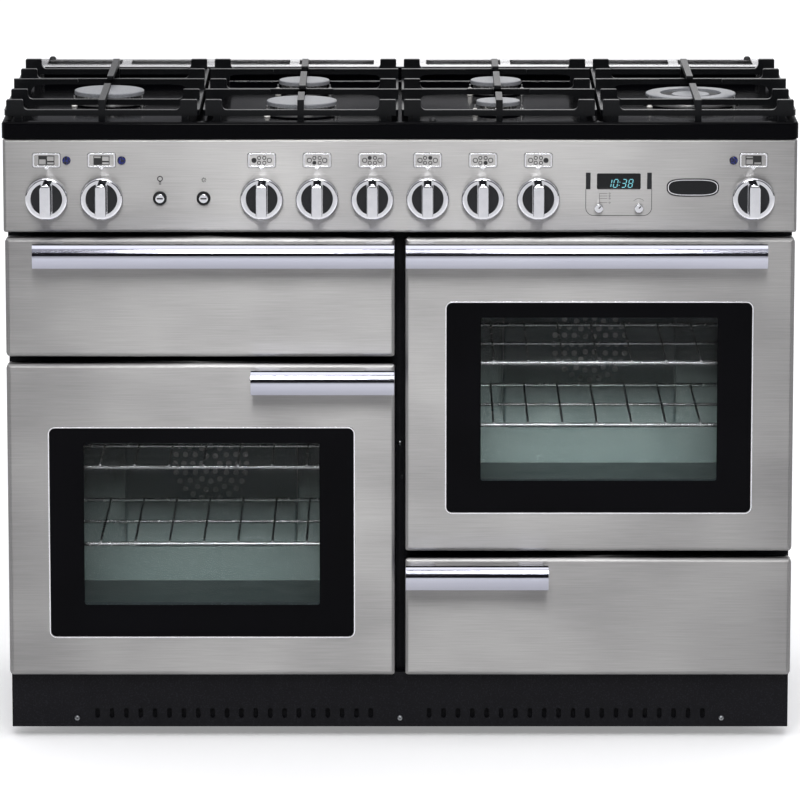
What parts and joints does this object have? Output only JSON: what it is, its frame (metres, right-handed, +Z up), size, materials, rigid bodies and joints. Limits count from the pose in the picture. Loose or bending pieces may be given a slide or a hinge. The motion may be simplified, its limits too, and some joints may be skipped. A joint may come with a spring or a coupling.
{
  "type": "range cooker",
  "caption": "Free-standing dual-fuel range cooker with a gas hob under cast pan supports, two glazed ovens, a grill door, a storage drawer and a steel control panel.",
  "frame": {"origin": "on the floor, under the middle of the cooker's outer box", "axes": "+X to the cooker's right as seen from the front, -Y to the front, +Z up"},
  "size_m": [1.092, 0.648, 0.898],
  "materials": {
    "brushed_stainless": "brushed grain along the width, satin",
    "polished_bar": "polished and clear anodised",
    "chrome_plate": "bright plated",
    "black_enamel": "fired gloss enamel",
    "grey_enamel": "fired speckled enamel",
    "black_paint": "matt powder coat",
    "cast_grate": "matt enamelled cast iron",
    "burner_alloy": "as cast and turned",
    "burner_cap_enamel": "satin grey enamel",
    "window_glass": "clear float glass with a black border",
    "zinc_sheet": "galvanised",
    "bright_wire": "plated wire",
    "heater_sheath": "heat-tinted steel tube",
    "seal_fibre": "dark woven seal",
    "clock_plastic": "smoked gloss",
    "neon_plastic": "translucent blue",
    "tap_brass": "machined",
    "motor_casing": "grey coated",
    "fan_steel": "pressed steel",
    "black_plastic": "fine matt"
  },
  "bodies": {
    "cabinet": {"side_panels": "black_paint", "rear_panel": "zinc_sheet", "base_tray": "zinc_sheet", "levelling_feet": "zinc_sheet", "plinth": "black_paint", "front_frame": "black_paint", "control_panel": "brushed_stainless", "hob_tray": "black_enamel", "rear_vent_trim": "brushed_stainless", "gas_rail_and_controls": "tap_brass", "clock_and_switches": "clock_plastic", "neon_lenses": "neon_plastic", "burner_heads": "burner_alloy", "burner_caps": "burner_cap_enamel", "left_oven_liner": "grey_enamel", "right_oven_liner": "grey_enamel", "grill_chamber": "grey_enamel", "heating_elements": "heater_sheath", "fan_covers": "grey_enamel", "fan_motors": "motor_casing", "shelf_guides": "bright_wire", "oven_seals": "seal_fibre", "hinges_and_runners": "zinc_sheet"},
    "left_fan": {"left_oven_fan": "fan_steel"},
    "right_fan": {"right_oven_fan": "fan_steel"},
    "grill_door": {"grill_door_panel": "brushed_stainless", "grill_door_handle": "polished_bar"},
    "left_oven_door": {"left_door_panel": "brushed_stainless", "left_door_glass": "window_glass", "left_door_inner": "grey_enamel", "left_door_handle": "polished_bar"},
    "right_oven_door": {"right_door_panel": "brushed_stainless", "right_door_glass": "window_glass", "right_door_inner": "grey_enamel", "right_door_handle": "polished_bar"},
    "storage_drawer": {"drawer_front": "brushed_stainless", "drawer_box": "zinc_sheet", "drawer_handle": "polished_bar"},
    "support_left": {"pan_support_left": "cast_grate"},
    "support_centre_left": {"pan_support_centre_left": "cast_grate"},
    "support_centre_right": {"pan_support_centre_right": "cast_grate"},
    "support_right": {"pan_support_right": "cast_grate"},
    "grill_control": {"grill_knob": "chrome_plate"},
    "left_oven_control": {"left_oven_knob": "chrome_plate"},
    "burner_control_1": {"burner_knob_1": "chrome_plate"},
    "burner_control_2": {"burner_knob_2": "chrome_plate"},
    "burner_control_3": {"burner_knob_3": "chrome_plate"},
    "burner_control_4": {"burner_knob_4": "chrome_plate"},
    "burner_control_5": {"burner_knob_5": "chrome_plate"},
    "burner_control_6": {"burner_knob_6": "chrome_plate"},
    "right_oven_control": {"right_oven_knob": "chrome_plate"},
    "ignition_switch": {"ignition_button": "chrome_plate"},
    "oven_light_switch": {"oven_light_button": "chrome_plate"},
    "clock_mode_control": {"clock_mode_knob": "black_plastic"},
    "clock_set_control": {"clock_set_knob": "black_plastic"},
    "grill_tray": {"grill_pan": "black_enamel"},
    "left_upper_shelf": {"left_rack_upper": "bright_wire"},
    "left_lower_shelf": {"left_rack_lower": "bright_wire"},
    "right_upper_shelf": {"right_rack_upper": "bright_wire"},
    "right_lower_shelf": {"right_rack_lower": "bright_wire"}
  },
  "joints": [
    {"name": "grill_door_hinge", "type": "hinge", "parent": "cabinet", "child": "grill_door", "pos_m": [-0.2745, -0.254, 0.567], "axis": [1, 0, 0], "range_deg": [0, 85]},
    {"name": "right_oven_door_hinge", "type": "hinge", "parent": "cabinet", "child": "right_oven_door", "pos_m": [0.2745, -0.254, 0.293], "axis": [1, 0, 0], "range_deg": [0, 90]},
    {"name": "left_oven_door_hinge", "type": "hinge", "parent": "cabinet", "child": "left_oven_door", "pos_m": [-0.53, -0.254, 0.3145], "axis": [0, 0, -1], "range_deg": [0, 95]},
    {"name": "storage_drawer_slide", "type": "slide", "parent": "cabinet", "child": "storage_drawer", "axis": [0, -1, 0], "range_m": [0, 0.29]},
    {"name": "support_left_lift", "type": "slide", "parent": "cabinet", "child": "support_left", "axis": [0, 0, 1], "range_m": [0, 0.08]},
    {"name": "support_centre_left_lift", "type": "slide", "parent": "cabinet", "child": "support_centre_left", "axis": [0, 0, 1], "range_m": [0, 0.08]},
    {"name": "support_centre_right_lift", "type": "slide", "parent": "cabinet", "child": "support_centre_right", "axis": [0, 0, 1], "range_m": [0, 0.08]},
    {"name": "support_right_lift", "type": "slide", "parent": "cabinet", "child": "support_right", "axis": [0, 0, 1], "range_m": [0, 0.08]},
    {"name": "grill_knob_turn", "type": "hinge", "parent": "cabinet", "child": "grill_control", "pos_m": [-0.4845, -0.276, 0.766], "axis": [0, 1, 0], "range_deg": [-150, 150]},
    {"name": "left_oven_knob_turn", "type": "hinge", "parent": "cabinet", "child": "left_oven_control", "pos_m": [-0.409, -0.276, 0.766], "axis": [0, 1, 0], "range_deg": [0, 280]},
    {"name": "burner_knob_1_turn", "type": "hinge", "parent": "cabinet", "child": "burner_control_1", "pos_m": [-0.1895, -0.276, 0.766], "axis": [0, -1, 0], "range_deg": [0, 210]},
    {"name": "burner_knob_2_turn", "type": "hinge", "parent": "cabinet", "child": "burner_control_2", "pos_m": [-0.1137, -0.276, 0.766], "axis": [0, -1, 0], "range_deg": [0, 210]},
    {"name": "burner_knob_3_turn", "type": "hinge", "parent": "cabinet", "child": "burner_control_3", "pos_m": [-0.0379, -0.276, 0.766], "axis": [0, -1, 0], "range_deg": [0, 210]},
    {"name": "burner_knob_4_turn", "type": "hinge", "parent": "cabinet", "child": "burner_control_4", "pos_m": [0.0379, -0.276, 0.766], "axis": [0, -1, 0], "range_deg": [0, 210]},
    {"name": "burner_knob_5_turn", "type": "hinge", "parent": "cabinet", "child": "burner_control_5", "pos_m": [0.1137, -0.276, 0.766], "axis": [0, -1, 0], "range_deg": [0, 210]},
    {"name": "burner_knob_6_turn", "type": "hinge", "parent": "cabinet", "child": "burner_control_6", "pos_m": [0.1895, -0.276, 0.766], "axis": [0, -1, 0], "range_deg": [0, 210]},
    {"name": "right_oven_knob_turn", "type": "hinge", "parent": "cabinet", "child": "right_oven_control", "pos_m": [0.4845, -0.276, 0.766], "axis": [0, 1, 0], "range_deg": [0, 280]},
    {"name": "ignition_button_press", "type": "slide", "parent": "cabinet", "child": "ignition_switch", "axis": [0, 1, 0], "range_m": [0, 0.003], "stiffness_N_per_m": 600},
    {"name": "oven_light_button_press", "type": "slide", "parent": "cabinet", "child": "oven_light_switch", "axis": [0, 1, 0], "range_m": [0, 0.003], "stiffness_N_per_m": 600},
    {"name": "clock_mode_turn", "type": "hinge", "parent": "cabinet", "child": "clock_mode_control", "pos_m": [0.2725, -0.276, 0.7525], "axis": [0, 1, 0], "range_deg": [0, 150]},
    {"name": "clock_set_turn", "type": "hinge", "parent": "cabinet", "child": "clock_set_control", "pos_m": [0.3275, -0.276, 0.7525], "axis": [0, 1, 0], "continuous": true},
    {"name": "left_fan_spin", "type": "hinge", "parent": "cabinet", "child": "left_fan", "pos_m": [-0.2745, 0.149, 0.315], "axis": [0, 1, 0], "continuous": true},
    {"name": "right_fan_spin", "type": "hinge", "parent": "cabinet", "child": "right_fan", "pos_m": [0.2745, 0.149, 0.491], "axis": [0, 1, 0], "continuous": true},
    {"name": "grill_pan_slide", "type": "slide", "parent": "cabinet", "child": "grill_tray", "axis": [0, -1, 0], "range_m": [0, 0.025]},
    {"name": "left_upper_rack_slide", "type": "slide", "parent": "cabinet", "child": "left_upper_shelf", "axis": [0, -1, 0], "range_m": [0, 0.025]},
    {"name": "left_lower_rack_slide", "type": "slide", "parent": "cabinet", "child": "left_lower_shelf", "axis": [0, -1, 0], "range_m": [0, 0.025]},
    {"name": "right_upper_rack_slide", "type": "slide", "parent": "cabinet", "child": "right_upper_shelf", "axis": [0, -1, 0], "range_m": [0, 0.025]},
    {"name": "right_lower_rack_slide", "type": "slide", "parent": "cabinet", "child": "right_lower_shelf", "axis": [0, -1, 0], "range_m": [0, 0.025]}
  ]
}
